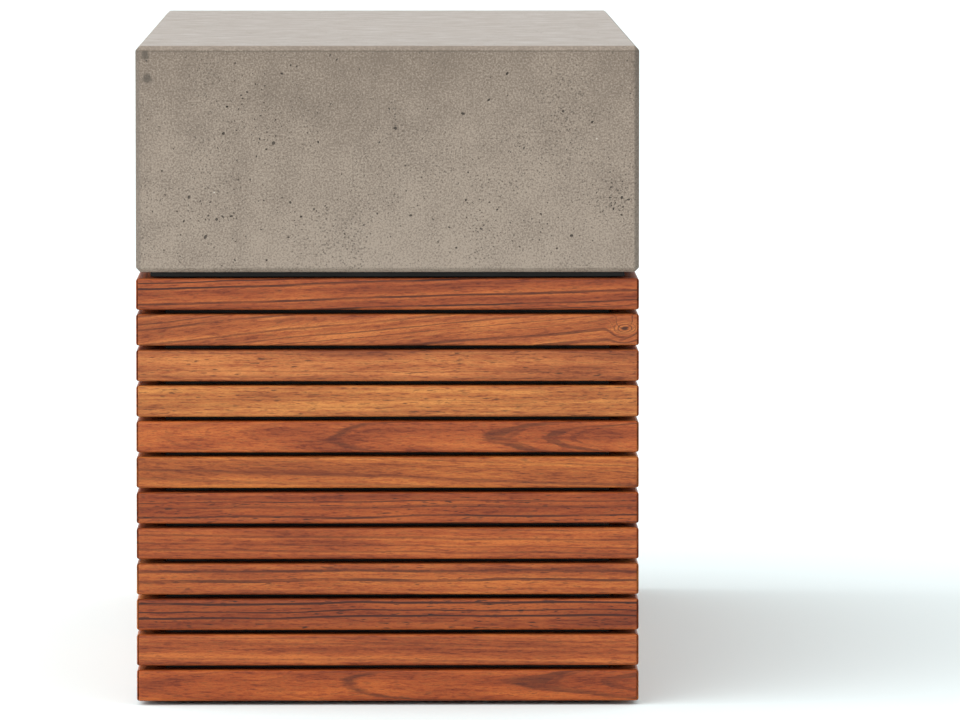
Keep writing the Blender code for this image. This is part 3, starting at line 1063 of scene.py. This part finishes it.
class BENCH_OT_feet(bpy.types.Operator):
    """Add the four levelling feet: a ribbed rubber pad, a threaded stem and a lock nut"""

    bl_idname = "bench.feet"
    bl_label = "Levelling feet"

    def execute(self, context):
        rubber = rubber_material()
        steel = metal_material("zinc_plated_steel", "#B9BBBE", 0.35, 0.8 * MM)
        ring_low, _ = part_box("bottom_ring")
        plate_top = ring_low.z + STEEL_WALL
        pad_top = ring_low.z - CLEARANCE
        groove = 0.6 * MM
        for node in FEET:
            low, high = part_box(node)
            centre = Vector(((low.x + high.x) / 2, (low.y + high.y) / 2, 0.0))
            radius = (high.x - low.x) / 2
            pad = [
                (0.0, 0.8 * MM),
                (radius * 0.35, 0.8 * MM),
                (radius * 0.42, 0.0),
                (radius - 1.2 * MM, 0.0),
                (radius - 0.35 * MM, 0.35 * MM),
                (radius, 1.2 * MM),
                (radius, 2.6 * MM),
                (radius - groove, 3.1 * MM),
                (radius - groove, 3.7 * MM),
                (radius, 4.2 * MM),
                (radius, 5.4 * MM),
                (radius - 0.5 * MM, 6.4 * MM),
                (radius - 1.6 * MM, pad_top),
                (0.0, pad_top),
            ]
            pad_mesh = to_mesh("pad", turned(pad, 48, centre))
            add_piece(f"{node}_pad", pad_mesh, rubber, [node])
            stem_start = pad_top + CLEARANCE / 3
            stem = [(0.0, stem_start)]
            stem += thread_profile(stem_start, high.z - 0.6 * MM)
            stem += [(THREAD_RADIUS - 1.2 * MM, high.z), (0.0, high.z)]
            stem_mesh = to_mesh("stem", turned(stem, 24, centre))
            add_piece(f"{node}_stem", stem_mesh, steel, crease=THREAD_CREASE)
            nut = hexagon(13 * MM, 6 * MM)
            nut.transform(Matrix.Translation((centre.x, centre.y, plate_top + 1.9 * MM)))
            add_piece(f"{node}_nut", to_mesh("nut", nut), steel)
            washer = washer_profile(4.2 * MM, 8.2 * MM, plate_top + 0.1 * MM)
            add_piece(f"{node}_washer", to_mesh("washer", turned(washer, 32, centre)), steel)
        return {"FINISHED"}


# -------------------- fasteners
# Outlines in millimetres, as radius and height. A screw goes from its point to the socket
# in its head; an insert is a flanged sleeve
SCREW_OUTLINE = (
    (0.0, -15.0),
    (1.5, -12.5),
    (1.5, 0.1),
    (3.4, 0.1),
    (3.4, 0.9),
    (2.4, 1.9),
    (1.3, 1.9),
    (1.1, 0.9),
    (0.0, 0.9),
)
INSERT_OUTLINE = (
    (4.1, 0.0),
    (7.0, 0.0),
    (7.0, 1.2),
    (5.6, 1.5),
    (5.6, 26.0),
    (4.1, 26.0),
    (4.1, 0.0),
)


def slat_screw_places():
    """For each side, the places and inward directions of the screws that hold its slats."""
    _, ring_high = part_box("bottom_ring")
    post_low, post_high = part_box("front_left_post")
    leg_middle = (post_high.x - post_low.x) / 2
    end_x = ring_high.x - leg_middle
    end_y = ring_high.y - leg_middle
    places = {}
    for side in SIDES:
        spots = []
        sign = -1 if side in ("front", "left") else 1
        for course in range(1, COURSES + 1):
            low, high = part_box(f"{side}_slat_{course:02d}")
            middle = (low.z + high.z) / 2
            on_ring = course in (1, COURSES)
            if course == COURSES:
                middle += 2 * MM
            wall = STEEL_WALL if on_ring else STEEL_WALL + CLEARANCE + SHADE_SHEET_THICKNESS
            if side in ("front", "rear"):
                y = sign * (ring_high.y - wall)
                spots += [((x, y, middle), (0.0, -sign, 0.0)) for x in (-end_x, end_x)]
            else:
                x = sign * (ring_high.x - wall)
                spots += [((x, y, middle), (-sign, 0.0, 0.0)) for y in (-end_y, end_y)]
                x = sign * (ring_high.x - (STEEL_WALL if on_ring else HOOP_WALL))
                spots.append(((x, 0.0, middle), (-sign, 0.0, 0.0)))
        places[side] = spots
    return places


class BENCH_OT_fasteners(bpy.types.Operator):
    """Add the slat screws and the bolts, washers and inserts that hold the block down"""

    bl_idname = "bench.fasteners"
    bl_label = "Fasteners"

    def execute(self, context):
        steel = metal_material("stainless_steel", "#C9C7C3", 0.28, 0.6 * MM)
        brass = metal_material("brass_insert", "#C9A85C", 0.32, 0.6 * MM)
        screw = [(radius * MM, height * MM) for radius, height in SCREW_OUTLINE]
        screw_mesh = to_mesh("slat_screw", turned(screw, 8))
        for side, spots in slat_screw_places().items():
            places = []
            for spot, inward in spots:
                turn = Vector(inward).to_track_quat("Z", "Y").to_matrix().to_4x4()
                places.append(Matrix.Translation(spot) @ turn)
            add_piece(f"{side}_slat_screws", join_copies("screws", screw_mesh, places), steel)

        _, ring_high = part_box("top_ring")
        block_low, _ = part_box("seat_block")
        plate_under = ring_high.z - STEEL_WALL
        washer_under = plate_under - 1.7 * MM
        head_top = washer_under - 0.1 * MM
        shank_top = block_low.z + 24 * MM
        washer = washer_profile(4.1 * MM, 7.6 * MM, washer_under)
        shank = [(0.0, washer_under)]
        shank += thread_profile(washer_under, shank_top - 1 * MM)
        shank += [(2.6 * MM, shank_top), (0.0, shank_top)]
        insert = [(radius * MM, block_low.z + up * MM) for radius, up in INSERT_OUTLINE]
        places = [(x, y) for x in (-BOLT_X, BOLT_X) for y in (-BOLT_Y, 0.0, BOLT_Y)]
        upside_down = Matrix.Rotation(math.pi, 4, "X")
        for number, (x, y) in enumerate(places, start=1):
            centre = Vector((x, y, 0.0))
            head = hexagon(12 * MM, 5.3 * MM)
            head.transform(Matrix.Translation((x, y, head_top)) @ upside_down)
            for name, bm, material, crease in (
                ("washer", turned(washer, 32, centre), steel, CREASE),
                ("bolt_head", head, steel, CREASE),
                ("bolt", turned(shank, 20, centre), steel, THREAD_CREASE),
                ("insert", turned(insert, 24, centre), brass, CREASE),
            ):
                mesh = to_mesh(name, bm)
                add_piece(f"block_{name}_{number}", mesh, material, crease=crease)
        return {"FINISHED"}


# -------------------- panel and registration
class BENCH_PT_panel(bpy.types.Panel):
    """Lists the pieces of the bench and their settings"""

    bl_idname = "BENCH_PT_panel"
    bl_label = "Garden bench"
    bl_space_type = "VIEW_3D"
    bl_region_type = "UI"
    bl_category = "Bench"

    def draw(self, context):
        layout = self.layout
        for operator, group in BUILD_ORDER:
            column = layout.box().column()
            column.operator(operator.bl_idname)
            if group is None:
                continue
            settings = getattr(context.scene, group)
            for name in settings.__annotations__:
                column.prop(settings, name)


SETTINGS = {
    "bench_stage": BenchStageSettings,
    "bench_block": BenchBlockSettings,
    "bench_slats": BenchSlatSettings,
    "bench_frame": BenchFrameSettings,
    "bench_lining": BenchShadeSheetsSettings,
}
BUILD_ORDER = (
    (BENCH_OT_stage, "bench_stage"),
    (BENCH_OT_seat_block, "bench_block"),
    (BENCH_OT_slats, "bench_slats"),
    (BENCH_OT_frame, "bench_frame"),
    (BENCH_OT_shade_sheets, "bench_lining"),
    (BENCH_OT_feet, None),
    (BENCH_OT_fasteners, None),
)


def register():
    for name, group in SETTINGS.items():
        bpy.utils.register_class(group)
        setattr(bpy.types.Scene, name, PointerProperty(type=group))
    for operator, _ in BUILD_ORDER:
        bpy.utils.register_class(operator)
    bpy.utils.register_class(BENCH_PT_panel)


def unregister():
    bpy.utils.unregister_class(BENCH_PT_panel)
    for operator, _ in reversed(BUILD_ORDER):
        bpy.utils.unregister_class(operator)
    for name, group in reversed(SETTINGS.items()):
        delattr(bpy.types.Scene, name)
        bpy.utils.unregister_class(group)


def main():
    register()
    bpy.ops.bench.stage()
    bpy.ops.bench.seat_block()
    bpy.ops.bench.slats()
    bpy.ops.bench.frame()
    bpy.ops.bench.lining()
    bpy.ops.bench.feet()
    bpy.ops.bench.fasteners()


if __name__ == "__main__":
    main()
